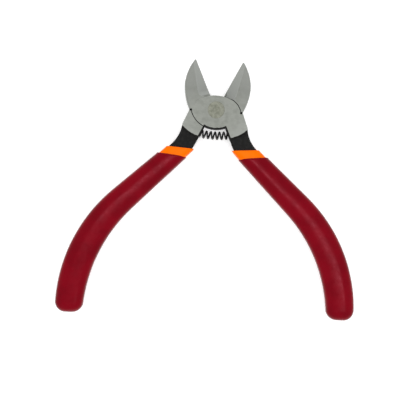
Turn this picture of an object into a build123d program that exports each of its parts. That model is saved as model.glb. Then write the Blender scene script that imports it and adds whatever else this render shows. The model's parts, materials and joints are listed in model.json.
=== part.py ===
from build123d import *
import os
from math import cos, degrees, radians, sin, sqrt

# Diagonal cutting pliers with a lap joint, lying flat, in millimetres and degrees.
# The pivot's axis is Z, the jaws point along +Y, and the tool rests on the plane z = 0.
# The tool is modelled at rest, which is fully open: its return spring holds it against its stops.
# Each half is drawn closed, with its jaw at x < 0 and its handle at x > 0, about the lap plane.

# Opening
OPENING = 50.4              # swing between the stops and the closed edges
HALF_SWING = OPENING / 2

# Head
HEAD_THICKNESS = 10.0       # over both halves
NECK_THICKNESS = 8.0        # the forged neck, below the ground head
TANG_THICKNESS = 6.0        # inside the grips
GROUND_REACH = 16.5         # radius of the ground faces
GROUND_CENTRE = (4.9, 0.6)  # centre of their lower edge
THROAT_CHAMFER = 0.7        # unground rim round the throat
THROAT_ZONE = 4.0           # how far that rim reaches up and down from the plate's lower edge

# Joint plate: an eye-shaped outline, even about the centreline of the open tool
PLATE_TOP = 7.1
PLATE_BOTTOM = -9.6
PLATE_TIP = (12.2, -0.7)
PLATE_UPPER_CHEEK = (9.9, 3.55)
PLATE_UPPER_CORNER = (6.0, 5.95)
PLATE_LOWER_CHEEK = (10.9, -3.75)
PLATE_LOWER_CORNER = (8.0, -6.95)
WAIST = (13.2, -0.5)        # where jaw and neck meet outside the plate, when open
NOTCH = (12.5, -0.75)       # relief at the plate's tip, when open
NOTCH_RADIUS = 0.5
NOTCH_DEPTH = 3.5           # drilled from each face
SEAM = 0.4                  # play between a plate's edge and the shoulder round it
STOP_GAP = 0.1              # play left between jaw and neck at the open stop
LAP_GAP = 0.02              # from each plate to the lap plane

# Jaws
JAW_LENGTH = 27.6           # pivot to tip
JAW_WIDTH = 11.8            # cutting edge to the jaw's back
JAW_CHEEK = 0.41            # height of the jaw's widest point, as a share of its length
JAW_SHOULDER = (0.797, 0.675)  # points on the jaw's back, as shares of its width and length
JAW_NOSE = (0.49, 0.85)
TIP_WIDTH = 0.6
TAPER_START = 4.0           # height where the faces leave the flat and turn towards the tip
TAPER_END = 13.5            # height where that turn ends
TAPER_DROP = 0.8
EDGE_ANGLE = 41.0           # each bevel, from the middle plane
EDGE_GAP = 0.02             # from each cutting edge to the centreline, closed
TIP_HALF_THICKNESS = 1.2    # reached just past the tip
PAST_TIP = 1.0
BEVEL_RUNOUT = 4.0          # radius where the bevel runs out into the plate
BLADE_ROOT = 3.0            # how far the hidden bevel goes below the crotch
BLADE_ROOT_ROUND = 0.5
BACK_ROUND = 0.8            # rounding of the jaw's back
HEEL_RELIEF = 1.0           # the blade's lower corner, cut back beside the plate
HEEL_RELIEF_TOP = 10.4
HEEL_RELIEF_SLOPE = 1.5
HEEL_RELIEF_BOTTOM = 5.0

# Neck
NECK_INNER = 1.05           # centreline to the neck's inner side, closed
NECK_INNER_END = -18.0      # where the inner side leaves the straight
NECK_CROOK = (1.2, -22.5)   # a point on the bend below it
NECK_CORNER = (11.3, -14.0)
NECK_WAIST = (10.4, -18.5)  # outer side at its narrowest
NECK_EDGE = 1.2             # chamfer of the forged edges
NECK_THINS_FROM = -16.0     # the neck thins to the tang between these heights
NECK_THINS_TO = -30.0
NECK_TOP = -2.4             # the neck's upper end, inside the plate

# Handle centreline: a straight run, then one long bend to the heel
HANDLE_START = (5.3, -22.0)
HANDLE_HEADING = 21.0       # from the centreline, outwards
RUN_LENGTH = 41.2
BEND_RADIUS = 77.4
BEND_LENGTH = 63.3
FRONT_SPREAD = 1.4          # the handles are set by hand, so they differ a little
REAR_SPREAD = -1.4
FRONT_REACH = 0.984
REAR_REACH = 1.016
FRONT_DIP = -0.9            # how much further down the handle its dips start
REAR_DIP = 0.0

# Half widths of the steel and the grip: at the neck, the end of the run, mid-bend and the heel
TANG_WIDTHS = (4.6, 5.0, 5.2, 5.0)
GRIP_WIDTHS = (5.3, 6.75, 7.4, 6.95)
TANG_START = 8.0            # along the handle, where the neck has become the tang
COAT_START = -8.0           # along the handle, above every dip line
GRIP_THICKNESS = 10.0
GRIP_ROUND = 4.3
HEEL_CORNER = 5.2
UNDERCOAT = 0.5             # thickness of the first dip beside the steel
UNDERCOAT_THICKNESS = 8.6
UNDERCOAT_ROUND = 2.6
COAT_CLEARANCE = 0.15       # from each coat to the centreline, closed
UNDERCOAT_LINE = (-1.9, 7.8)  # where the first dip starts, inside and outside, along the handle
GRIP_LINE = (3.9, 12.8)       # where the second dip starts
TANG_SHORT = 5.0            # heel to the tang's end
UNDERCOAT_SHORT = 3.2

# Rivet
RIVET_RADIUS = 3.0
RIVET_HEAD_RADIUS = 4.2
RIVET_HEAD_DEPTH = 1.3
RIVET_PLAY = 0.03           # radial running clearance in the front half

# Return spring and its pockets
SPRING_MEAN_RADIUS = 1.7
WIRE_RADIUS = 0.4
COIL_PITCH = 2.2
SPRING_SIDE_PLAY = 0.65     # round the coil in its pocket
SPRING_DROP = 0.2           # below the middle of the pockets' mouths
POCKET_RADIUS = SPRING_MEAN_RADIUS + WIRE_RADIUS + SPRING_SIDE_PLAY
POCKET_DEPTH = 2.6
POCKET_PLACE = (0.96, -13.8)  # centre of the pocket's mouth, closed
POCKET_TILT = 16.0          # the pocket leans this much from square to the neck
SPRING_END_PLAY = 0.35

FAR = 200.0                 # larger than the tool
CUT_HEIGHT = 15.0           # larger than the head is thick
CLOSE = 0.01                # how near an edge must be to count as being at a place


def turned(x, y, angle):
    """The point (x, y) turned about the pivot."""
    c = cos(radians(angle))
    s = sin(radians(angle))
    return (x * c - y * s, x * s + y * c)


def flipped(point):
    """The point's twin across the centreline."""
    return (-point[0], point[1])


def plate_outline():
    """The joint plate's outline, turned into the closed half."""
    top = (0, PLATE_TOP)
    bottom = (0, PLATE_BOTTOM)
    edges = Curve() + [
        ThreePointArc(PLATE_TIP, PLATE_UPPER_CHEEK, PLATE_UPPER_CORNER),
        ThreePointArc(PLATE_UPPER_CORNER, top, flipped(PLATE_UPPER_CORNER)),
        ThreePointArc(flipped(PLATE_UPPER_CORNER), flipped(PLATE_UPPER_CHEEK), flipped(PLATE_TIP)),
        ThreePointArc(flipped(PLATE_TIP), flipped(PLATE_LOWER_CHEEK), flipped(PLATE_LOWER_CORNER)),
        ThreePointArc(flipped(PLATE_LOWER_CORNER), bottom, PLATE_LOWER_CORNER),
        ThreePointArc(PLATE_LOWER_CORNER, PLATE_LOWER_CHEEK, PLATE_TIP),
    ]
    return Rot(0, 0, -HALF_SWING) * make_face(edges.edges())


def crotch_height():
    """Height at which the plate's upper edge meets the closed centreline."""
    centreline = Line((0, 0), (0, JAW_LENGTH))
    return (plate_outline() & centreline).bounding_box().max.Y


def on_plane(points):
    """A closed face through points joined by straight lines."""
    return make_face(Polyline(*points, close=True))


def mirrored(shape):
    """The shape's twin on the other side of the lap plane."""
    return mirror(shape, about=Plane.XY)


def handle_point(s, side, half_width, spread, reach):
    """A point beside the handle's centreline, s along it; side is 1 outwards and -1 inwards."""
    run = RUN_LENGTH * reach
    radius = BEND_RADIUS * reach
    start = HANDLE_HEADING + spread
    x = HANDLE_START[0] + min(s, run) * sin(radians(start))
    y = HANDLE_START[1] - min(s, run) * cos(radians(start))
    heading = start
    if s > run:
        heading = start - degrees((s - run) / radius)
        x += radius * (cos(radians(heading)) - cos(radians(start)))
        y += radius * (sin(radians(heading)) - sin(radians(start)))
    x += side * half_width * cos(radians(heading))
    y += side * half_width * sin(radians(heading))
    return (x, y)


def handle_outline(widths, short, top, spread, reach):
    """The handle's outline from top to the heel: a run, a bend and a square end with round corners."""
    run = RUN_LENGTH * reach
    end = run + BEND_LENGTH * reach - short
    middle = (run + end) / 2
    stations = dict(zip((top, run, middle, end), widths))
    outer = {s: handle_point(s, 1, w, spread, reach) for s, w in stations.items()}
    inner = {s: handle_point(s, -1, w, spread, reach) for s, w in stations.items()}
    edges = Curve() + [
        Line(outer[top], outer[run]),
        ThreePointArc(outer[run], outer[middle], outer[end]),
        Line(outer[end], inner[end]),
        ThreePointArc(inner[end], inner[middle], inner[run]),
        Line(inner[run], inner[top]),
        Line(inner[top], outer[top]),
    ]
    face = make_face(edges.edges())
    heel = [face.vertices().sort_by_distance(corner)[0] for corner in (outer[end], inner[end])]
    return fillet(heel, HEEL_CORNER - short / 2)


def above_line(line, spread, reach):
    """Everything on the head's side of a dip's upper edge."""
    inner = handle_point(line[0], -1, GRIP_WIDTHS[0], spread, reach)
    outer = handle_point(line[1], 1, GRIP_WIDTHS[0], spread, reach)
    along = (Vector(*outer) - Vector(*inner)).normalized() * FAR
    low = Vector(*inner) - along
    high = Vector(*outer) + along
    up = Vector(-along.Y, along.X)
    return extrude(on_plane([low, high, high + up, low + up]), FAR, both=True)


def rims(block, half_thickness):
    """The edges round a block's top and bottom faces."""
    return block.edges().filter_by(lambda e: abs(abs(e.center().Z) - half_thickness) < CLOSE)


def rounded_bar(widths, thickness, radius, short, line, spread, reach):
    """A dipped coat's outer shape: the handle's outline, rounded top and bottom, cut off at its line."""
    half = thickness / 2
    block = extrude(handle_outline(widths, short, COAT_START, spread, reach), half, both=True)
    block = fillet(rims(block, half), radius)
    past_centreline = Pos(COAT_CLEARANCE - FAR / 2, 0, 0) * Box(FAR, 2 * FAR, FAR)
    return block - above_line(line, spread, reach) - past_centreline


def undercoat_shape(spread, reach, dip):
    """The first dip, filled solid."""
    widths = [w + UNDERCOAT for w in TANG_WIDTHS]
    line = [s + dip for s in UNDERCOAT_LINE]
    return rounded_bar(
        widths, UNDERCOAT_THICKNESS, UNDERCOAT_ROUND, UNDERCOAT_SHORT, line, spread, reach
    )


def grip_shape(spread, reach, dip):
    """The second dip, filled solid."""
    line = [s + dip for s in GRIP_LINE]
    return rounded_bar(GRIP_WIDTHS, GRIP_THICKNESS, GRIP_ROUND, 0.0, line, spread, reach)


def jaw():
    """The full-thickness jaw, tapered to its tip, with a bevel on each side of the cutting edge."""
    inner_corner = turned(*flipped(PLATE_TIP), -HALF_SWING)
    waist = turned(*flipped(WAIST), -HALF_SWING)
    cheek = (-JAW_WIDTH, JAW_CHEEK * JAW_LENGTH)
    shoulder = (-JAW_SHOULDER[0] * JAW_WIDTH, JAW_SHOULDER[1] * JAW_LENGTH)
    nose = (-JAW_NOSE[0] * JAW_WIDTH, JAW_NOSE[1] * JAW_LENGTH)
    tip = (-TIP_WIDTH, JAW_LENGTH)
    back = Curve() + [
        ThreePointArc(waist, cheek, shoulder),
        ThreePointArc(shoulder, nose, tip),
        Line(tip, (-EDGE_GAP, JAW_LENGTH)),
        Line((-EDGE_GAP, JAW_LENGTH), (-EDGE_GAP, 0)),
        Line((-EDGE_GAP, 0), inner_corner),
        Line(inner_corner, waist),
    ]
    body = extrude(make_face(back.edges()), HEAD_THICKNESS / 2, both=True)
    below_face = under_face()
    body = body & below_face & mirrored(below_face)
    body = fillet(body.edges().filter_by(on_jaw_back), BACK_ROUND)
    crotch = crotch_height()
    body -= bevel_cutter(crotch, BEVEL_RUNOUT)
    return body - mirrored(bevel_cutter(crotch - BLADE_ROOT, BLADE_ROOT_ROUND))


def on_jaw_back(edge):
    """Whether an edge runs along the jaw's outer side, top or bottom."""
    middle = edge.center()
    return middle.X < -2 * TIP_WIDTH and middle.Y > PLATE_UPPER_CORNER[1] and abs(middle.Z) > CLOSE


def under_face():
    """All that lies below the jaw's upper face, which is flat at the plate and slopes down to the tip."""
    half = HEAD_THICKNESS / 2
    end = JAW_LENGTH + PAST_TIP
    turn = TangentArc((TAPER_START, half), (TAPER_END, half - TAPER_DROP), tangent=(1, 0))
    profile = Curve() + [
        Line((-FAR, half), turn @ 0),
        turn,
        Line(turn @ 1, (end, TIP_HALF_THICKNESS)),
        Line((end, TIP_HALF_THICKNESS), (end, -half)),
        Line((end, -half), (-FAR, -half)),
        Line((-FAR, -half), (-FAR, half)),
    ]
    return extrude(Plane.YZ * make_face(profile.edges()), FAR, both=True)


def bevel_cutter(low, runout):
    """The space above one bevel: it tilts up from the cutting edge, and its lower end is round."""
    high = JAW_LENGTH + CUT_HEIGHT
    bow = runout * (1 - sqrt(0.5))
    outline = Curve() + [
        Line((low + runout, 0), (high, 0)),
        Line((high, 0), (high, CUT_HEIGHT)),
        Line((high, CUT_HEIGHT), (low, CUT_HEIGHT)),
        Line((low, CUT_HEIGHT), (low, runout)),
        ThreePointArc((low, runout), (low + bow, bow), (low + runout, 0)),
    ]
    block = extrude(Plane.YZ * make_face(outline.edges()), 2 * CUT_HEIGHT, both=True)
    return Pos(-EDGE_GAP, 0, 0) * Rot(0, EDGE_ANGLE, 0) * block


def neck(spread, reach):
    """The forged neck and tang, thinning towards the grip, with the ground face on top."""
    plan = neck_plan(spread, reach)
    half_neck = NECK_THICKNESS / 2
    forged = extrude(plan, half_neck, both=True)
    into_tang = handle_point(TANG_START, 0, 0, spread, reach)
    all_but_tang_end = rims(forged, half_neck).sort_by_distance(into_tang)[2:]
    forged = chamfer(all_but_tang_end, NECK_EDGE)
    tang = handle_outline(TANG_WIDTHS, TANG_SHORT, TANG_START, spread, reach)
    forged = (forged & neck_side()) + extrude(tang, TANG_THICKNESS / 2, both=True)
    half = HEAD_THICKNESS / 2
    ground = extrude(plan, half, both=True)
    throat = ground.edges().filter_by(Axis.Y)
    throat = throat.filter_by(lambda e: abs(e.center().X - NECK_INNER) < CLOSE)
    ground = chamfer(throat, THROAT_CHAMFER)
    slope = Pos(*GROUND_CENTRE, half / 2) * Cone(GROUND_REACH + half, GROUND_REACH, half)
    return forged + (ground & (slope + mirrored(slope)))


def neck_plan(spread, reach):
    """The neck's outline, from the plate to the tang."""
    inner_corner = turned(PLATE_TIP[0], PLATE_TIP[1] - STOP_GAP, -HALF_SWING)
    waist = turned(WAIST[0], WAIST[1] - STOP_GAP, -HALF_SWING)
    tang_out = handle_point(TANG_START, 1, TANG_WIDTHS[0], spread, reach)
    tang_in = handle_point(TANG_START, -1, TANG_WIDTHS[0], spread, reach)
    under_plate = (NECK_INNER, NECK_TOP)
    inner_end = (NECK_INNER, NECK_INNER_END)
    outline = Curve() + [
        Line(under_plate, inner_corner),
        Line(inner_corner, waist),
        Line(waist, NECK_CORNER),
        ThreePointArc(NECK_CORNER, NECK_WAIST, tang_out),
        Line(tang_out, tang_in),
        ThreePointArc(tang_in, NECK_CROOK, inner_end),
        Line(inner_end, under_plate),
    ]
    return make_face(outline.edges())


def neck_side():
    """The forging seen from the side: full thickness at the neck, thinner at the tang."""
    neck_half = NECK_THICKNESS / 2
    tang_half = TANG_THICKNESS / 2
    upper = [
        (0, neck_half),
        (NECK_THINS_FROM, neck_half),
        (NECK_THINS_TO, tang_half),
        (-FAR, tang_half),
    ]
    lower = [(y, -z) for y, z in reversed(upper)]
    return extrude(Plane.YZ * on_plane(upper + lower), FAR, both=True)


def throat_rim():
    """What the chamfer takes off the plate's lower edge, between the two necks of the open tool."""
    rise = PLATE_LOWER_CORNER[1] - PLATE_BOTTOM
    radius = (PLATE_LOWER_CORNER[0] ** 2 + rise**2) / (2 * rise)
    level = HEAD_THICKNESS / 2 - THROAT_CHAMFER / 2
    cone = Pos(0, PLATE_BOTTOM + radius, level) * Cone(radius, radius - THROAT_CHAMFER, THROAT_CHAMFER)
    beside_neck = turned(NECK_INNER, PLATE_BOTTOM, HALF_SWING)
    zone = Pos(0, PLATE_BOTTOM, level) * Box(2 * beside_neck[0], THROAT_ZONE, THROAT_CHAMFER)
    return Rot(0, 0, -HALF_SWING) * (zone - cone)


def lap_pocket():
    """The room for the other half's plate, on the lower side, and the relief of the blade's heel."""
    relief = on_plane([
        (HEEL_RELIEF, HEEL_RELIEF_TOP),
        (-EDGE_GAP, HEEL_RELIEF_TOP),
        (-HEEL_RELIEF, HEEL_RELIEF_TOP - HEEL_RELIEF_SLOPE),
        (-HEEL_RELIEF, HEEL_RELIEF_BOTTOM),
        (HEEL_RELIEF, HEEL_RELIEF_BOTTOM),
    ])
    pocket = extrude(offset(plate_outline(), SEAM) + relief, HEAD_THICKNESS)
    return Pos(0, 0, LAP_GAP - HEAD_THICKNESS) * pocket


def notches():
    """The small round reliefs at both tips of the plate, blind from both faces."""
    upper = Pos(0, 0, (HEAD_THICKNESS - NOTCH_DEPTH) / 2) * Cylinder(NOTCH_RADIUS, NOTCH_DEPTH)
    drill = upper + mirrored(upper)
    return [Pos(*turned(*point, -HALF_SWING)) * drill for point in (NOTCH, flipped(NOTCH))]


def rivet(play=0.0):
    """The flush rivet, countersunk at both faces, or the hole for it when play is given."""
    half = HEAD_THICKNESS / 2
    shank = Cylinder(RIVET_RADIUS + play, HEAD_THICKNESS)
    sink = Cone(RIVET_RADIUS + play, RIVET_HEAD_RADIUS + play, RIVET_HEAD_DEPTH)
    sink = Pos(0, 0, half - RIVET_HEAD_DEPTH / 2) * sink
    return shank + sink + mirrored(sink)


def spring_pocket():
    """The blind hole in the neck's inner side for one end of the spring."""
    drill = Rot(0, 90, 0) * Cylinder(POCKET_RADIUS, 2 * POCKET_DEPTH)
    return Pos(*POCKET_PLACE, 0) * Rot(0, 0, -POCKET_TILT) * drill


def half_steel(spread, reach, play):
    """One forged half, drawn closed."""
    half = HEAD_THICKNESS / 2
    body = jaw() + neck(spread, reach)
    body -= lap_pocket()
    plate = Pos(0, 0, LAP_GAP) * extrude(plate_outline(), half - LAP_GAP)
    body = body + (plate - throat_rim())
    return body - rivet(play) - spring_pocket() - notches()


def place_front(shape):
    """Opens the front half and lifts its lap plane to mid-thickness."""
    return Pos(0, 0, HEAD_THICKNESS / 2) * Rot(0, 0, HALF_SWING) * shape


def place_rear(shape):
    """Turns a half over about the centreline, then opens it the other way."""
    return Pos(0, 0, HEAD_THICKNESS / 2) * Rot(0, 0, -HALF_SWING) * Rot(0, 180, 0) * shape


def return_spring():
    """The coil spring, straight between the bottoms of its two pockets."""
    mouth = turned(*POCKET_PLACE, HALF_SWING)
    depth = POCKET_DEPTH * cos(radians(HALF_SWING - POCKET_TILT))
    length = 2 * (mouth[0] + depth - SPRING_END_PLAY - WIRE_RADIUS)
    coil = Helix(COIL_PITCH, length, SPRING_MEAN_RADIUS)
    section = Plane(coil @ 0, z_dir=coil % 0) * Circle(WIRE_RADIUS)
    wire = sweep(section, path=coil, is_frenet=True)
    return Pos(-length / 2, mouth[1] - SPRING_DROP, HEAD_THICKNESS / 2) * Rot(0, 90, 0) * wire


def handle_coats(spread, reach, dip):
    """The two dips on one handle: the undercoat and the grip over it."""
    steel = neck(spread, reach)
    first = undercoat_shape(spread, reach, dip)
    second = grip_shape(spread, reach, dip)
    return first - steel, second - first


front_undercoat, front_grip = handle_coats(FRONT_SPREAD, FRONT_REACH, FRONT_DIP)
rear_undercoat, rear_grip = handle_coats(REAR_SPREAD, REAR_REACH, REAR_DIP)
nodes = {
    "front_half": place_front(half_steel(FRONT_SPREAD, FRONT_REACH, RIVET_PLAY)),
    "rear_half": place_rear(half_steel(REAR_SPREAD, REAR_REACH, 0.0)),
    "pivot_rivet": Pos(0, 0, HEAD_THICKNESS / 2) * rivet(),
    "return_spring": return_spring(),
    "right_undercoat": place_front(front_undercoat),
    "left_undercoat": place_rear(rear_undercoat),
    "right_grip": place_front(front_grip),
    "left_grip": place_rear(rear_grip),
}

os.makedirs("parts", exist_ok=True)
for name, shape in nodes.items():
    export_step(shape, os.path.join("parts", name + ".step"))
    print(name, "solids", len(shape.solids()), "volume", round(shape.volume, 1))
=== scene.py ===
# %% [markdown]
# # Diagonal cutting pliers
# The tool lies flat on a pale table, held open by its return spring. The forged steel comes from
# the CAD frame as it is and gets its finish here. The dipped handles and the spring are soft or
# bent shapes, so they are modelled again in this file, round the same lines as the CAD pieces.

import json
from math import cos, pi, radians, sin, sqrt

import bmesh
import bpy
from mathutils import Matrix, Vector, noise


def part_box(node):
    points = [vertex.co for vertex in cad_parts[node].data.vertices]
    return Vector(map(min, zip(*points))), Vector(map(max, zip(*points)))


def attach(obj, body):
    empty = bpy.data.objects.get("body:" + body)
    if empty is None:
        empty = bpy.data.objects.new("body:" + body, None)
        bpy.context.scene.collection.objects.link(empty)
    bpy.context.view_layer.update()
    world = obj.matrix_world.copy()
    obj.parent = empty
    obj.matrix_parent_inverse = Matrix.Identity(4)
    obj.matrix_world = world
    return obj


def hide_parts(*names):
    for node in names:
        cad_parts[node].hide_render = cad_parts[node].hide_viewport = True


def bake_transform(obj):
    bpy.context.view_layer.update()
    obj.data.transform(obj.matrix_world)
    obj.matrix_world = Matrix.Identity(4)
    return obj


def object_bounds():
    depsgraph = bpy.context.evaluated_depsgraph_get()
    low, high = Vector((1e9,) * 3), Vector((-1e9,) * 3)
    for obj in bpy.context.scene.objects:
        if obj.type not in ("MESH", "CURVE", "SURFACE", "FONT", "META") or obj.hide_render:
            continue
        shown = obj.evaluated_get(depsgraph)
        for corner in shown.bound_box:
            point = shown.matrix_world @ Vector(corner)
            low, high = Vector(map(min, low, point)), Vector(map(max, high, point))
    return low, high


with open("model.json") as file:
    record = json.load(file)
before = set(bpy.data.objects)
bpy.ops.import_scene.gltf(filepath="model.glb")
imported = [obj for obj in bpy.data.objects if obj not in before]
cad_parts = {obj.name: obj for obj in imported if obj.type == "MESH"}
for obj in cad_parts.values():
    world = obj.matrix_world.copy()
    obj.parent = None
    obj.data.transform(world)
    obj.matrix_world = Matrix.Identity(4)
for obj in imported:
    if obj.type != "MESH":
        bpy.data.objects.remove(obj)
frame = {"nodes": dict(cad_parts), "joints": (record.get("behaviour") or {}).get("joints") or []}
cad_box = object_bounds()
nodes = frame["nodes"]
MM = 0.001
half_swing = -min(frame["joints"][0]["range_deg"]) / 2
mid_height = (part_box("front_half")[0].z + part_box("front_half")[1].z) / 2
print("CAD pieces:", sorted(nodes))
print("each half swings", half_swing, "degrees to close, about the height", round(mid_height / MM, 2), "mm")

# %% [markdown]
# ## The line of a handle
# On the real tool a handle leaves the neck straight, then follows one long bend to the heel.
# Two arrays of points could hold that line, but a run and an arc say the same with four sizes.
# Both handles share it: each is set a little, which `spread` and `reach` describe.

# %% The handle's centreline
HANDLE_START = Vector((5.3, -22.0))
HANDLE_HEADING = 21.0
RUN_LENGTH = 41.2
BEND_RADIUS = 77.4
BEND_LENGTH = 63.3
HANDLES = {
    "right": {"side": 1, "spread": 1.4, "reach": 0.984, "dip": -0.9, "body": "front_body"},
    "left": {"side": -1, "spread": -1.4, "reach": 1.016, "dip": 0.0, "body": "rear_body"},
}


def closed_place(s, across, hand):
    """The point beside the centreline s along it, in mm, and the heading there, with the tool closed."""
    run = RUN_LENGTH * hand["reach"]
    radius = BEND_RADIUS * hand["reach"]
    start = radians(HANDLE_HEADING + hand["spread"])
    place = HANDLE_START + min(s, run) * Vector((sin(start), -cos(start)))
    heading = start - max(s - run, 0) / radius
    place += radius * Vector((cos(heading) - cos(start), sin(heading) - sin(start)))
    return place + across * Vector((cos(heading), sin(heading))), heading


def opened(point, hand):
    """The same point on the open tool, in metres at mid height."""
    turned = Matrix.Rotation(radians(half_swing), 2) @ point
    return Vector((hand["side"] * turned.x * MM, turned.y * MM, mid_height))


def station(s, hand):
    """A matrix that stands a flat outline square across the handle: x goes outwards, y up, z along."""
    place, heading = closed_place(s, 0, hand)
    here = opened(place, hand)
    outwards = (opened(place + Vector((cos(heading), sin(heading))), hand) - here).normalized()
    onwards = (opened(place + Vector((sin(heading), -cos(heading))), hand) - here).normalized()
    columns = Matrix((outwards, Vector((0, 0, 1)), onwards)).transposed().to_4x4()
    return Matrix.Translation(here) @ columns


def handle_end(hand):
    """How long the whole handle is, along its centreline."""
    return (RUN_LENGTH + BEND_LENGTH) * hand["reach"]


for name, hand in HANDLES.items():
    heel = station(handle_end(hand), hand).translation
    print(name, "handle ends", round(heel.x / MM, 1), round(heel.y / MM, 1), "mm from the pivot")

# %% [markdown]
# ## How wide a coat is
# A dipped coat is thin at its start, where the paste ran off, and fuller towards the heel. The
# width grows straight along the run and follows a shallow curve round the bend, so a line and a
# three-point curve give it. The heel is a square end with round corners, which the last few
# outlines make by drawing in.

# %% The coats' sizes
GRIP = {
    "widths": (5.3, 6.75, 7.4, 6.95), "half_thickness": 5.0, "corner": 4.3,
    "short": 0.0, "line": (3.9, 12.8), "squareness": 2.6, "lip": 0.5,
}
UNDERCOAT = {
    "widths": (5.15, 5.5, 5.7, 5.5), "half_thickness": 4.3, "corner": 2.6,
    "short": 3.2, "line": (-1.9, 7.8), "squareness": 3.8, "lip": 0.4,
}
COAT_START = -8.0
LINE_WIDTH = 5.3
HEEL_CORNER = 5.2
LENGTH_STATIONS = 48
HEEL_STATIONS = 10


def half_width(s, end, coat, hand):
    """Half the coat's width s along the handle, before the heel's corners."""
    neck, run_end, middle, heel = coat["widths"]
    run = RUN_LENGTH * hand["reach"]
    if s < run:
        return neck + (run_end - neck) * (s - COAT_START) / (run - COAT_START)
    t = (s - run) / (end - run)
    return run_end * (1 - t) * (1 - 2 * t) + middle * 4 * t * (1 - t) + heel * t * (2 * t - 1)


def drawn_in(size, corner, to_end):
    """A half size that shrinks round a corner of this radius as the end comes near."""
    if to_end >= corner:
        return size
    return size - corner + sqrt(max(corner**2 - (corner - to_end) ** 2, 0))


def stations_along(end):
    """Where the outlines stand: every few millimetres, then closer and closer round the heel."""
    count = LENGTH_STATIONS
    straight = [COAT_START + (end - HEEL_CORNER - COAT_START) * i / count for i in range(count)]
    angles = [90 * i / HEEL_STATIONS for i in range(HEEL_STATIONS + 1)]
    return straight + [end - HEEL_CORNER * (1 - sin(radians(a))) for a in angles]


print("a grip is", 2 * GRIP["widths"][2], "mm wide at the bend and", 2 * GRIP["half_thickness"], "mm thick")

# %% [markdown]
# ## A dipped coat
# The real coat is vinyl paste that the hot handle was lowered into. It has no edges: its section
# is a soft rectangle, its heel a soft corner, and where it starts it ends in a small round lip.
# A bevelled box would keep its flats, so here a circle is pressed to a soft rectangle, pulled
# along the handle ring by ring, and cut on the slant at the dip line. The lip is then rolled over
# the cut in short steps and closed inside the steel.

# %% Section, sweep and heel
RING_POINTS = 40


def soft_rectangle(point, squareness):
    """A point of a unit circle pressed outwards to a soft unit rectangle."""
    return Vector([abs(c) ** (2 / squareness) * (1 if c > 0 else -1) for c in (point.x, point.y)])


def place_ring(verts, shape, wide, high, across):
    """Puts a ring's points round the handle: shape is scaled to the half sizes and stood up."""
    for vert, point in zip(verts, shape):
        vert.co = across @ Vector((point.x * wide * MM, point.y * high * MM, 0))


def next_ring(bm, edges, verts):
    """Extrudes an open ring once. Returns its new edges and its points in the same order."""
    made = bmesh.ops.extrude_edge_only(bm, edges=edges)["geom"]
    new_edges = [g for g in made if isinstance(g, bmesh.types.BMEdge)]
    fresh = {g for g in made if isinstance(g, bmesh.types.BMVert)}
    new_verts = [next(e.other_vert(v) for e in v.link_edges if e.other_vert(v) in fresh) for v in verts]
    return new_edges, new_verts


def sweep_coat(bm, coat, hand):
    """Pulls the coat's section from above the dip line round to a closed heel."""
    end = handle_end(hand) - coat["short"]
    ring = bmesh.ops.create_circle(bm, segments=RING_POINTS, radius=1.0)["verts"]
    shape = [soft_rectangle(v.co, coat["squareness"]) for v in ring]
    edges = bm.edges[:]
    for i, s in enumerate(stations_along(end)):
        if i:
            edges, ring = next_ring(bm, edges, ring)
        wide = drawn_in(half_width(s, end, coat, hand), HEEL_CORNER - coat["short"] / 2, end - s)
        high = drawn_in(coat["half_thickness"], coat["corner"], end - s)
        place_ring(ring, shape, wide, high, station(s, hand))
    bmesh.ops.edgeloop_fill(bm, edges=edges)


print("a coat is pulled through", LENGTH_STATIONS + HEEL_STATIONS + 1, "rings of", RING_POINTS, "points")

# %% [markdown]
# ## The dip line and its lip
# The handle goes into the paste on the slant, so the coat starts on a slanted line, and surface
# tension rounds its edge. A boolean could cut the line, but bisect_plane cuts and clears in one
# step and leaves one clean loop of edges. Each extrusion of that loop then goes a little forward
# and a little in, which is a quarter circle, and the last one ends deep inside the steel.

# %% Dip line and lip
LIP_STEPS = (25, 50, 75, 90)
PLUG_DEPTH = 2.2


def dip_plane(coat, hand):
    """A point on the slanted dip line, and the level direction square to it that looks at the head."""
    inner_s, outer_s = (s + hand["dip"] for s in coat["line"])
    inner = opened(closed_place(inner_s, -LINE_WIDTH, hand)[0], hand)
    outer = opened(closed_place(outer_s, LINE_WIDTH, hand)[0], hand)
    towards_head = Vector((0, 0, 1)).cross(outer - inner).normalized()
    if towards_head.y < 0:
        towards_head.negate()
    return (inner + outer) / 2, towards_head


def roll_lip(bm, coat, towards_head):
    """Rolls the cut edge over a quarter circle, then closes it well inside the handle."""
    rim = [e for e in bm.edges if e.is_boundary]
    verts = list({v for e in rim for v in e.verts})
    centre = sum((v.co for v in verts), Vector()) / len(verts)
    start = {v: v.co.copy() for v in verts}
    radius = coat["lip"] * MM
    steps = [(radius * sin(radians(a)), radius * (1 - cos(radians(a)))) for a in LIP_STEPS]
    steps.append((radius, PLUG_DEPTH * MM))
    for forward, inward in steps:
        rim, fresh = next_ring(bm, rim, verts)
        start = {new: start[old] for new, old in zip(fresh, verts)}
        for v in fresh:
            v.co = start[v] + towards_head * forward + (centre - start[v]).normalized() * inward
        verts = fresh
    bmesh.ops.edgeloop_fill(bm, edges=rim)


print("a lip is rolled over in", len(LIP_STEPS), "steps and closed", PLUG_DEPTH, "mm inside")

# %% [markdown]
# ## Unevenness and clearance
# Paste never sets to one thickness, so each point moves a hair in or out by a smooth noise, too
# little to see as a dent but enough to bend a reflection. Where the two coats come together on
# the closed tool, the points are first pressed back to just short of the centreline.

# %% Unevenness and clearance
UNEVEN_DEPTH = 0.05
UNEVEN_GRAIN = 9.0
COAT_CLEARANCE = 0.15


def uneven(bm):
    """Moves each point a hair in or out, as paste of uneven thickness does."""
    bm.normal_update()
    for v in bm.verts:
        v.co += v.normal * UNEVEN_DEPTH * MM * noise.noise(v.co / (UNEVEN_GRAIN * MM))


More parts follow.
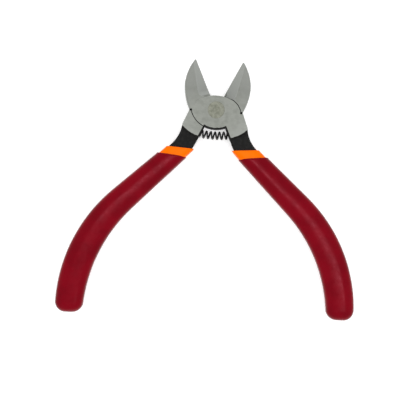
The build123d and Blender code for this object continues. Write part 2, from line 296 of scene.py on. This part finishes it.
def press_clear(bm, hand):
    """Keeps a coat off the closed tool's centreline, where the other handle's coat comes."""
    turn = Matrix.Rotation(radians(-half_swing), 3, "Z")
    side = hand["side"]
    for v in bm.verts:
        closed = turn @ Vector((side * v.co.x, v.co.y, v.co.z))
        if closed.x < COAT_CLEARANCE * MM:
            closed.x = COAT_CLEARANCE * MM
            back = turn.inverted() @ closed
            v.co = Vector((side * back.x, back.y, back.z))


print("coats stay", COAT_CLEARANCE, "mm off the centreline and are uneven by", UNEVEN_DEPTH, "mm")

# %% [markdown]
# ## One whole coat
# The steps above run in the order of the real work: pull the shape, cut it at the dip line, roll
# the lip, press it clear and leave it a little uneven. Doubles are merged before the normals are
# turned outwards, and one level of subdivision rounds off what is left of the rings.

# %% Put a coat together
CUT_TOLERANCE = 0.02
MERGE_DISTANCE = 0.005


def dipped_coat(name, coat, hand, node):
    """One coat as a finished object that stands for its CAD node."""
    bm = bmesh.new()
    sweep_coat(bm, coat, hand)
    on_line, towards_head = dip_plane(coat, hand)
    cut_at = on_line - towards_head * coat["lip"] * MM
    everything = bm.verts[:] + bm.edges[:] + bm.faces[:]
    bmesh.ops.bisect_plane(
        bm, geom=everything, plane_co=cut_at, plane_no=towards_head,
        dist=CUT_TOLERANCE * MM, clear_outer=True,
    )
    roll_lip(bm, coat, towards_head)
    bmesh.ops.remove_doubles(bm, verts=bm.verts[:], dist=MERGE_DISTANCE * MM)
    press_clear(bm, hand)
    bmesh.ops.recalc_face_normals(bm, faces=bm.faces[:])
    uneven(bm)
    for face in bm.faces:
        face.smooth = True
    mesh = bpy.data.meshes.new(name)
    bm.to_mesh(mesh)
    bm.free()
    piece = bpy.data.objects.new(name, mesh)
    bpy.context.scene.collection.objects.link(piece)
    soften = piece.modifiers.new("soften", "SUBSURF")
    soften.levels = soften.render_levels = 1
    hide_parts(node)
    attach(piece, hand["body"])
    return piece


print("a coat is cut within", CUT_TOLERANCE, "mm and its doubles within", MERGE_DISTANCE, "mm merge")

# %% [markdown]
# ## Orange under red
# Each handle is dipped twice. The orange coat goes on first and reaches further up the neck, so
# a band of it shows above the red. Both are made whole, one inside the other, as they are on the
# real handle, so the band is a real step and not a painted line.

# %% Make the four coats
coats = {}
for hand_name, hand in HANDLES.items():
    for layer, coat, slot in (("undercoat", UNDERCOAT, "orange_dip"), ("grip", GRIP, "red_dip")):
        node = f"{hand_name}_{layer}"
        coats[node] = dipped_coat(f"dipped_{node}", coat, hand, node)
        print(coats[node].name, "has", len(coats[node].data.polygons), "faces")

# %% [markdown]
# ## The return spring
# A compression spring of black wire sits in a blind pocket in each neck. The pockets lean away
# from each other, so the spring bows a little towards the heels. A spin that also moves along its
# axis winds the coil straight, and the bow is laid on it afterwards by bending its axis to an arc.

# %% Wind and bow the spring
WIRE_RADIUS = 0.46
COIL_RADIUS = 1.75
COIL_PITCH = 2.2
COIL_STEPS = 26
WIRE_POINTS = 12
BOW_RADIUS = 42.0
BOW_DROP = 0.3


def bowed_spring(name, node):
    """A coil between the two pockets, as long as its CAD node."""
    low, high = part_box(node)
    length = high.x - low.x - 2 * WIRE_RADIUS * MM
    turns = length / (COIL_PITCH * MM)
    middle = (low + high) / 2
    bm = bmesh.new()
    wire = bmesh.ops.create_circle(bm, cap_ends=True, segments=WIRE_POINTS, radius=WIRE_RADIUS * MM)["verts"]
    bmesh.ops.translate(bm, verts=wire, vec=(0, COIL_RADIUS * MM, 0))
    steps = round(turns * COIL_STEPS)
    bmesh.ops.spin(
        bm, geom=bm.verts[:] + bm.edges[:] + bm.faces[:], cent=(0, 0, 0), axis=(1, 0, 0),
        dvec=(length / steps, 0, 0), angle=2 * pi * turns, steps=steps,
    )
    bmesh.ops.recalc_face_normals(bm, faces=bm.faces[:])
    bow = BOW_RADIUS * MM
    for v in bm.verts:
        along = v.co.x - length / 2
        angle = along / bow
        axis = Vector((bow * sin(angle), bow * (1 - cos(angle)), 0))
        outwards = Vector((-sin(angle), cos(angle), 0)) * v.co.y
        v.co = middle + axis + outwards + Vector((0, -BOW_DROP * MM, v.co.z))
    for face in bm.faces:
        face.smooth = len(face.verts) == 4
    mesh = bpy.data.meshes.new(name)
    bm.to_mesh(mesh)
    bm.free()
    piece = bpy.data.objects.new(name, mesh)
    bpy.context.scene.collection.objects.link(piece)
    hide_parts(node)
    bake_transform(piece)
    print(name, "has", round(turns, 1), "turns and", len(mesh.polygons), "faces")
    return piece


spring = bowed_spring("bowed_spring", "return_spring")

# %% [markdown]
# ## Helpers for finishes
# Every finish here is built from the same few blocks: a noise measured in millimetres, a soft
# step from 0 to 1, a mix of two colours and a small bump. Writing each block once keeps the
# materials short enough to read as recipes.

# %% The blocks: place, sums, noise, steps and mixes
class Finish:
    """A material under construction, measured in millimetres from a centre on the tool."""

    def __init__(self, name, centre):
        self.material = bpy.data.materials.new(name)
        self.material.use_nodes = True
        self.tree = self.material.node_tree
        self.shader = self.tree.nodes["Principled BSDF"]
        where = self.tree.nodes.new("ShaderNodeTexCoord").outputs["Object"]
        self.place = self.mapped(where, location=[-c / MM for c in centre], scale=[1 / MM] * 3)

    def mapped(self, vector, **settings):
        """The vector moved, turned and scaled."""
        node = self.tree.nodes.new("ShaderNodeMapping")
        self.tree.links.new(vector, node.inputs["Vector"])
        for key, value in settings.items():
            node.inputs[key.capitalize()].default_value = value
        return node.outputs["Vector"]

    def math(self, operation, first, second=0.0):
        """One sum on numbers or on other blocks."""
        node = self.tree.nodes.new("ShaderNodeMath")
        node.operation = operation
        for socket, value in zip(node.inputs, (first, second)):
            if isinstance(value, (int, float)):
                socket.default_value = value
            else:
                self.tree.links.new(value, socket)
        return node.outputs[0]

    def noise(self, grain, detail=2.0, stretch=(1, 1, 1), turn=0.0):
        """Noise whose spots are about `grain` mm, pulled longer along the axes with a small stretch."""
        vector = self.mapped(self.place, rotation=(0, 0, radians(turn)), scale=stretch)
        node = self.tree.nodes.new("ShaderNodeTexNoise")
        node.inputs["Scale"].default_value = 1 / grain
        node.inputs["Detail"].default_value = detail
        self.tree.links.new(vector, node.inputs["Vector"])
        return node.outputs["Fac"]

    def step(self, value, low, high, to_low=0.0, to_high=1.0):
        """A smooth step: to_low below `low`, to_high above `high`."""
        node = self.tree.nodes.new("ShaderNodeMapRange")
        node.interpolation_type = "SMOOTHSTEP"
        for key, number in (("From Min", low), ("From Max", high), ("To Min", to_low), ("To Max", to_high)):
            node.inputs[key].default_value = number
        self.tree.links.new(value, node.inputs["Value"])
        return node.outputs["Result"]

    def mix(self, factor, first, second):
        """One colour over another, by factor."""
        node = self.tree.nodes.new("ShaderNodeMix")
        node.data_type = "RGBA"
        sockets = [s for s in node.inputs if s.type == "RGBA"]
        self.tree.links.new(factor, node.inputs["Factor"])
        for socket, value in zip(sockets, (first, second)):
            if isinstance(value, tuple):
                socket.default_value = (*value, 1)
            else:
                self.tree.links.new(value, socket)
        return next(s for s in node.outputs if s.type == "RGBA")

    def set(self, **values):
        """Sets the shader's own sockets, by number or colour, or links a block to them."""
        for key, value in values.items():
            socket = self.shader.inputs[key.replace("_", " ")]
            if isinstance(value, bpy.types.NodeSocket):
                self.tree.links.new(value, socket)
            elif isinstance(value, tuple):
                socket.default_value = (*value, 1)
            else:
                socket.default_value = value


print("blocks:", [name for name in vars(Finish) if not name.startswith("_")])

# %% [markdown]
# ## Edges, slopes, gaps and bumps
# Four blocks ask the surface about itself. A bevel normal differs from the true one only near a
# sharp edge, which finds sharp edges for wear and for a painted highlight. The true normal tells how
# far a face leans. Ambient occlusion finds gaps, where shade is painted. A bump tilts the normal by
# a height, for grain too fine to model.

# %% Blocks that look at the surface
BEVEL_SAMPLES = 6
CREVICE_SAMPLES = 8


def sharp_edge(finish, radius):
    """1 on sharp outer and inner edges, 0 on open faces."""
    bevel = finish.tree.nodes.new("ShaderNodeBevel")
    bevel.samples = BEVEL_SAMPLES
    bevel.inputs["Radius"].default_value = radius * MM
    face = finish.tree.nodes.new("ShaderNodeNewGeometry")
    dot = finish.tree.nodes.new("ShaderNodeVectorMath")
    dot.operation = "DOT_PRODUCT"
    finish.tree.links.new(bevel.outputs["Normal"], dot.inputs[0])
    finish.tree.links.new(face.outputs["Normal"], dot.inputs[1])
    return finish.step(dot.outputs["Value"], 0.8, 0.99, 1.0, 0.0)


def facing_up(finish, low, high, to_low, to_high):
    """A soft step on how far a face looks upwards or downwards: 1 is level, 0 upright."""
    face = finish.tree.nodes.new("ShaderNodeNewGeometry")
    split = finish.tree.nodes.new("ShaderNodeSeparateXYZ")
    finish.tree.links.new(face.outputs["True Normal"], split.inputs["Vector"])
    return finish.step(finish.math("ABSOLUTE", split.outputs["Z"]), low, high, to_low, to_high)


def crevice(finish, reach):
    """0 deep in a gap, 1 in the open."""
    shade = finish.tree.nodes.new("ShaderNodeAmbientOcclusion")
    shade.samples = CREVICE_SAMPLES
    shade.inputs["Distance"].default_value = reach * MM
    return shade.outputs["AO"]


def bump(finish, height, depth, soften=0.0):
    """Raises the surface by up to `depth` mm where height is 1."""
    node = finish.tree.nodes.new("ShaderNodeBump")
    node.inputs["Distance"].default_value = depth * MM
    finish.tree.links.new(height, node.inputs["Height"])
    if soften:
        bevel = finish.tree.nodes.new("ShaderNodeBevel")
        bevel.samples = BEVEL_SAMPLES
        bevel.inputs["Radius"].default_value = soften * MM
        finish.tree.links.new(bevel.outputs["Normal"], node.inputs["Normal"])
    finish.tree.links.new(node.outputs["Normal"], finish.shader.inputs["Normal"])


def wear(piece, material):
    """Puts one material on a piece, in place of any it came with."""
    piece.data.materials.clear()
    piece.data.materials.append(material)


print("edges take", BEVEL_SAMPLES, "samples and gaps", CREVICE_SAMPLES)

# %% [markdown]
# ## Forged steel, ground and blackened
# The forging is blackened all over, then the head is ground flat, so bare satin steel meets
# black oxide along a clean arc on each neck, and black stays in the throat below the joint. Two
# materials would need faces that end on that arc. One material with a mask can put the border
# where the grinding wheel left it, a radius from the joint, whatever the faces are.

# %% Where the steel is black
GROUND_CENTRE = Vector((4.9, 0.6))
GROUND_REACH = 16.5
NECK_INNER = 1.05
THROAT_RIM = 0.7
PLATE_LOW = -9.6
PLATE_LOW_CORNER = Vector((8.0, -6.95))
NECK_BELOW = (-4.0, -3.5)
BORDER = 0.05
RAGGED = 0.08
pivot = Vector((0, 0, mid_height))


def seen_from_above(finish):
    """The place's x and y as two separate blocks."""
    split = finish.tree.nodes.new("ShaderNodeSeparateXYZ")
    finish.tree.links.new(finish.place, split.inputs["Vector"])
    return split.outputs["X"], split.outputs["Y"]


def distance_from(finish, x, y, point_x, point_y):
    """How far (x, y) is from a point, in mm."""
    dx = finish.math("SUBTRACT", x, point_x)
    dy = finish.math("SUBTRACT", y, point_y)
    squares = finish.math("ADD", finish.math("MULTIPLY", dx, dx), finish.math("MULTIPLY", dy, dy))
    return finish.math("SQRT", squares)


def blackened(finish, side):
    """1 where the forging keeps its black skin."""
    x, y = seen_from_above(finish)
    ragged = finish.step(finish.noise(1.2, 3.0), 0.3, 0.7, -RAGGED, RAGGED)
    wheel = Matrix.Rotation(radians(half_swing), 2) @ GROUND_CENTRE
    from_wheel = finish.math("ADD", distance_from(finish, x, y, side * wheel.x, wheel.y), ragged)
    beyond_wheel = finish.step(from_wheel, GROUND_REACH - BORDER, GROUND_REACH + BORDER)
    on_neck = finish.step(y, *NECK_BELOW, 1.0, 0.0)
    rise = PLATE_LOW_CORNER.y - PLATE_LOW
    plate_radius = (PLATE_LOW_CORNER.x**2 + rise**2) / (2 * rise)
    rim = plate_radius - THROAT_RIM
    from_middle = finish.math("ADD", distance_from(finish, x, y, 0, PLATE_LOW + plate_radius), ragged)
    below_plate = finish.step(from_middle, rim - BORDER, rim + BORDER)
    turn = radians(half_swing)
    sideways = finish.math("MULTIPLY", finish.math("ABSOLUTE", x), cos(turn))
    from_centreline = finish.math("ADD", sideways, finish.math("MULTIPLY", y, sin(turn)))
    inside = NECK_INNER + THROAT_RIM
    by_throat = finish.step(from_centreline, inside - BORDER, inside + BORDER, 1.0, 0.0)
    skin = finish.math("MULTIPLY", beyond_wheel, on_neck)
    throat = finish.math("MULTIPLY", finish.math("MULTIPLY", below_plate, by_throat), on_neck)
    return finish.math("MAXIMUM", skin, throat)


print("the border is soft by", BORDER, "mm and ragged by", RAGGED, "mm")

# %% [markdown]
# ## Pits and bevels
# Two small blind pits at the plate's tips are painted dark as shade. A gap test finds them only in
# part, so they get a mask of their own, a distance from their middles. The honed bevels, which are
# painted lighter, are found by how far they lean, between level and upright. Small chamfers lean as
# much and are painted lighter with them.

# %% Where the pits and bevels are
PIT = Vector((12.5, -0.75))
PIT_RADIUS = 0.62
PIT_BORDER = 0.04


def out_of_pits(finish):
    """0 in the two pits, which are the same distance out on both sides, and 1 elsewhere."""
    x, y = seen_from_above(finish)
    from_pit = distance_from(finish, finish.math("ABSOLUTE", x), y, PIT.x, PIT.y)
    return finish.step(from_pit, PIT_RADIUS - PIT_BORDER, PIT_RADIUS + PIT_BORDER)


def leaning(finish):
    """1 on faces that lean as the bevels do, 0 on level and on upright ones."""
    not_upright = facing_up(finish, 0.5, 0.65, 0.0, 1.0)
    not_level = facing_up(finish, 0.80, 0.92, 1.0, 0.0)
    return finish.math("MULTIPLY", not_upright, not_level)


print("the pits are", 2 * PIT_RADIUS, "mm across and", round(PIT.length, 1), "mm from the pivot")

# %% [markdown]
# ## The steel's tones
# Ground steel is not one grey. The plate is dull in clouds. The jaws are painted a touch lighter
# towards their tips, as painted light for their tapering faces, and the honed bevels are painted
# lighter still, which keeps them as light as the faces although they lean away from the lamp. Sharp
# edges are lighter, partly rubbed bright and partly a painted highlight, and the seam and other
# gaps are painted dark as shade. Fine lines from the grinding belt give a bump and change the
# roughness, so the steel shines in streaks instead of like a mirror.

# %% The steel finish
BARE = (0.212, 0.220, 0.200)
BARE_DULL = (0.180, 0.188, 0.169)
# Painted light: the jaws turn to this lighter grey towards their tips.
PAINTED_JAW_LIGHT = (0.250, 0.258, 0.242)
# Painted light: a lighter grey for faces that lean, so they look as light as level ones.
PAINTED_LEAN_LIGHT = (0.295, 0.305, 0.287)
BLACK = (0.0062, 0.0062, 0.0060)
BLACK_DULL = (0.0120, 0.0115, 0.0110)
# Painted shade: the colour of the seam, the gaps and the two pits.
PAINTED_GAP_SHADE = (0.012, 0.012, 0.011)
# Sharp bare edges: partly rubbed wear, partly a painted highlight.
BARE_EDGE_WEAR_AND_HIGHLIGHT = (0.55, 0.56, 0.54)
RUBBED_BLACK = (0.12, 0.12, 0.115)
JAW_FROM, JAW_TO = 9.0, 24.0
STEEL_SHINE = 0.08


def steel_finish(name, side):
    """Satin ground steel that turns to black oxide on the neck and in the throat."""
    finish = Finish(name, pivot)
    black = blackened(finish, side)
    tone = finish.mix(finish.step(finish.noise(3.0, 4.0), 0.35, 0.7), BARE, BARE_DULL)
    spread = finish.tree.nodes.new("ShaderNodeVectorMath")
    spread.operation = "LENGTH"
    finish.tree.links.new(finish.place, spread.inputs[0])
    # Painted light: the jaws get lighter towards their tips, for the light on their tapering faces.
    towards_tip = finish.step(spread.outputs["Value"], JAW_FROM, JAW_TO, 0.0, 0.8)
    bare = finish.mix(towards_tip, tone, PAINTED_JAW_LIGHT)
    # Painted light: leaning bevels and chamfers are lightened to look as light as the level faces.
    bare = finish.mix(leaning(finish), bare, PAINTED_LEAN_LIGHT)
    edges = sharp_edge(finish, 0.3)
    # Sharp bare edges are lighter: partly rubbed wear, partly a painted highlight on the ridges.
    bare = finish.mix(finish.math("MULTIPLY", edges, 0.25), bare, BARE_EDGE_WEAR_AND_HIGHLIGHT)
    skin = finish.mix(finish.step(finish.noise(1.6, 5.0), 0.4, 0.75), BLACK, BLACK_DULL)
    rubbed = finish.math("MULTIPLY", edges, finish.step(finish.noise(0.9, 3.0), 0.5, 0.62, 0.0, 0.35))
    skin = finish.mix(rubbed, skin, RUBBED_BLACK)
    colour = finish.mix(black, bare, skin)
    # Painted shade: gaps found by ambient occlusion and the two pits turn dark.
    open_air = finish.math("MULTIPLY", finish.step(crevice(finish, 1.2), 0.35, 0.8), out_of_pits(finish))
    colour = finish.mix(open_air, PAINTED_GAP_SHADE, colour)
    lines = finish.noise(0.12, 2.0, stretch=(0.06, 1, 1), turn=8)
    roughness = finish.step(lines, 0.2, 0.8, 0.50, 0.60)
    rough_skin = finish.step(finish.noise(0.5, 4.0), 0.3, 0.7, 0.5, 0.62)
    keep = finish.math("SUBTRACT", 1.0, black)
    rough_bare = finish.math("MULTIPLY", roughness, keep)
    mixed = finish.math("ADD", rough_bare, finish.math("MULTIPLY", rough_skin, black))
    scale = finish.math("MULTIPLY", finish.noise(0.25, 4.0), black)
    relief = finish.math("ADD", finish.math("MULTIPLY", lines, keep), scale)
    bump(finish, relief, 0.006, soften=0.12)
    # In the painted shade the steel stops being metal, so it stays dark.
    metal = finish.math("MULTIPLY", finish.step(black, 0.3, 0.7, 1.0, 0.0), open_air)
    finish.set(Base_Color=colour, Roughness=mixed, Metallic=metal, Specular_IOR_Level=STEEL_SHINE)
    return finish.material


for node, side in (("front_half", 1), ("rear_half", -1)):
    wear(nodes[node], steel_finish(f"ground_and_black_{node}", side))
    print(node, "is ground within", GROUND_REACH, "mm of its wheel's centre")

# %% [markdown]
# ## The rivet and the spring
# The rivet is ground off with the joint, so it shows only as a slightly warmer round of softer
# steel, with turning marks that are felt more than seen. The spring is blue-black drawn wire,
# smooth and a little oily.

# %% Rivet and spring finishes
RIVET_TONES = ((0.205, 0.210, 0.172), (0.150, 0.155, 0.124))
RIVET_RIM = (0.10, 0.10, 0.085)
WIRE_TONES = ((0.008, 0.008, 0.009), (0.022, 0.021, 0.021))
WIRE_SHINE = 0.3


def rivet_finish():
    """Flush ground rivet steel with faint rings."""
    finish = Finish("rivet_steel", pivot)
    rings = finish.tree.nodes.new("ShaderNodeTexWave")
    rings.wave_type = "RINGS"
    rings.rings_direction = "Z"
    rings.inputs["Scale"].default_value = 0.9
    rings.inputs["Distortion"].default_value = 1.5
    finish.tree.links.new(finish.place, rings.inputs["Vector"])
    tone = finish.mix(finish.step(finish.noise(1.5, 4.0), 0.35, 0.7), *RIVET_TONES)
    tone = finish.mix(finish.math("MULTIPLY", sharp_edge(finish, 0.25), 0.5), tone, RIVET_RIM)
    bump(finish, rings.outputs["Fac"], 0.0008)
    roughness = finish.step(finish.noise(0.6), 0.3, 0.7, 0.52, 0.62)
    finish.set(Base_Color=tone, Roughness=roughness, Metallic=1.0)
    return finish.material


def spring_finish():
    """Oiled black wire."""
    finish = Finish("oiled_black_wire", pivot)
    tone = finish.mix(finish.step(finish.noise(0.7, 3.0), 0.4, 0.7), *WIRE_TONES)
    bump(finish, finish.noise(0.2, 3.0), 0.004)
    roughness = finish.step(finish.noise(0.8), 0.3, 0.7, 0.3, 0.42)
    finish.set(Base_Color=tone, Roughness=roughness, Specular_IOR_Level=WIRE_SHINE)
    return finish.material


wear(nodes["pivot_rivet"], rivet_finish())
wear(spring, spring_finish())
print("finished:", nodes["pivot_rivet"].name, "and", spring.name)

# %% [markdown]
# ## Dipped vinyl
# Dipped vinyl is smooth and semi-gloss, with a faint orange-peel skin, slow changes of tone where
# the paste ran thicker, and a few tiny pits and specks of dust. A glossy plastic with a layered
# noise gives all of these. A tinted specular keeps the highlights in the colour of the paste, so
# the bright surround does not wash the red out.

# %% Vinyl finishes
DUST_LIFT = 0.02
VINYL_SHINE = 0.12
RED_PASTE = {
    "colour": (0.158, 0.0007, 0.0054), "deep": (0.126, 0.0005, 0.0042),
    "rough": 0.20, "skin_depth": 0.010, "sheen": (1.0, 0.3, 0.38),
}
ORANGE_PASTE = {
    "colour": (0.84, 0.135, 0.0003), "deep": (0.82, 0.120, 0.0002),
    "rough": 0.3, "skin_depth": 0.01, "sheen": (1.0, 0.6, 0.2),
}


def vinyl(name, colour, deep, rough, skin_depth, sheen):
    """Semi-gloss dipped vinyl with an orange-peel skin; sheen tints its highlights."""
    finish = Finish(name, pivot)
    flow = finish.step(finish.noise(11.0, 3.0), 0.35, 0.65)
    tone = finish.mix(flow, colour, deep)
    dust = finish.step(finish.noise(0.35, 1.0), 0.74, 0.8, 0.0, 0.35)
    tone = finish.mix(dust, tone, tuple(min(1.0, 1.5 * c + DUST_LIFT) for c in colour))
    # Painted shade: the coats turn a darker red or orange in gaps.
    gap = finish.step(crevice(finish, 0.8), 0.3, 0.85)
    tone = finish.mix(gap, tuple(0.35 * c for c in deep), tone)
    peel = finish.math("ADD", finish.noise(1.4, 2.0), finish.math("MULTIPLY", finish.noise(0.3, 3.0), 0.25))
    bump(finish, peel, skin_depth)
    roughness = finish.step(finish.noise(2.2, 3.0), 0.3, 0.7, rough - 0.04, rough + 0.06)
    finish.set(Base_Color=tone, Roughness=roughness, Specular_IOR_Level=VINYL_SHINE, Specular_Tint=sheen)
    return finish.material


red = vinyl("red_dip", **RED_PASTE)
orange = vinyl("orange_dip", **ORANGE_PASTE)
for name, piece in coats.items():
    wear(piece, red if name.endswith("grip") else orange)
print("red on the grips, orange on the undercoats")

# %% [markdown]
# ## Table
# The tool lies on a pale table that glows a little, as a light table does, which thins the
# shadows. It is 0.1 mm lower than the tool, so nothing cuts into it.

# %% Stage
TABLE_SIZE = 4.0
TABLE_DROP = 0.1
TABLE_TONE = (0.8, 0.8, 0.8)
TABLE_GLOW = 0.38


def stage():
    """A pale floor just under the tool, wide enough for every view."""
    bm = bmesh.new()
    bmesh.ops.create_grid(bm, x_segments=1, y_segments=1, size=TABLE_SIZE)
    bmesh.ops.translate(bm, verts=bm.verts[:], vec=(0, 0, cad_box[0].z - TABLE_DROP * MM))
    mesh = bpy.data.meshes.new("table")
    bm.to_mesh(mesh)
    bm.free()
    table = bpy.data.objects.new("table", mesh)
    bpy.context.scene.collection.objects.link(table)
    top = bpy.data.materials.new("pale_table")
    top.use_nodes = True
    shader = top.node_tree.nodes["Principled BSDF"]
    shader.inputs["Base Color"].default_value = (*TABLE_TONE, 1)
    shader.inputs["Roughness"].default_value = 0.9
    shader.inputs["Specular IOR Level"].default_value = 0.0
    shader.inputs["Emission Color"].default_value = (1, 1, 1, 1)
    shader.inputs["Emission Strength"].default_value = TABLE_GLOW
    wear(table, top)


stage()
print("the table is", TABLE_DROP, "mm below the tool and glows at", TABLE_GLOW)

# %% [markdown]
# ## Light
# A bright surround gives the even light. One long, narrow lamp hangs overhead and a little to the
# right, along the handles, and lays a soft stripe on each grip.

# %% Lamp and surround
LAMP_PLACE = (0.09, -0.06, 0.9)
LAMP_WIDTH, LAMP_LENGTH = 0.05, 0.6
LAMP_WATTS = 1.9
SURROUND = 1.2


def strip_lamp(name, place, width, length, watts, aim):
    """A long soft lamp that faces the tool and runs the way its handles do."""
    data = bpy.data.lights.new(name, "AREA")
    data.shape = "RECTANGLE"
    data.size = width
    data.size_y = length
    data.energy = watts
    lamp = bpy.data.objects.new(name, data)
    lamp.location = place
    lamp.rotation_euler = (Vector(place) - aim).to_track_quat("Z", "Y").to_euler()
    bpy.context.scene.collection.objects.link(lamp)


centre = (cad_box[0] + cad_box[1]) / 2
strip_lamp("overhead", LAMP_PLACE, LAMP_WIDTH, LAMP_LENGTH, LAMP_WATTS, centre)
world = bpy.data.worlds.new("surround")
world.use_nodes = True
world.node_tree.nodes["Background"].inputs["Color"].default_value = (1, 1, 1, 1)
world.node_tree.nodes["Background"].inputs["Strength"].default_value = SURROUND
bpy.context.scene.world = world
bpy.context.scene.view_settings.view_transform = "Standard"
print("one lamp of", LAMP_WATTS, "W and a surround of", SURROUND)

# %% [markdown]
# ## Camera
# It looks straight down from 0.6 m with a long lens, so the two handles keep their true outlines,
# and it is turned a few degrees, so the tool leans a little in the view.

# %% Camera
CAMERA_HEIGHT = 0.6
CAMERA_ASIDE = (-0.00483, -0.04518)
CAMERA_LEAN = 4.07
LENS = 108.0
SENSOR = 36.0
camera_data = bpy.data.cameras.new("camera")
camera_data.lens = LENS
camera_data.sensor_width = SENSOR
camera = bpy.data.objects.new("camera", camera_data)
camera.location = (*CAMERA_ASIDE, mid_height + CAMERA_HEIGHT)
camera.rotation_euler = (0, 0, radians(CAMERA_LEAN))
bpy.context.scene.collection.objects.link(camera)
bpy.context.scene.camera = camera
print("the view is", round(CAMERA_HEIGHT * SENSOR / LENS / MM), "mm wide")

# %% [markdown]
# ## The CAD model's size
# Its box is printed in millimetres.

# %% Sizes and end
print("CAD box", [round(c / MM, 1) for c in cad_box[1] - cad_box[0]], "mm")
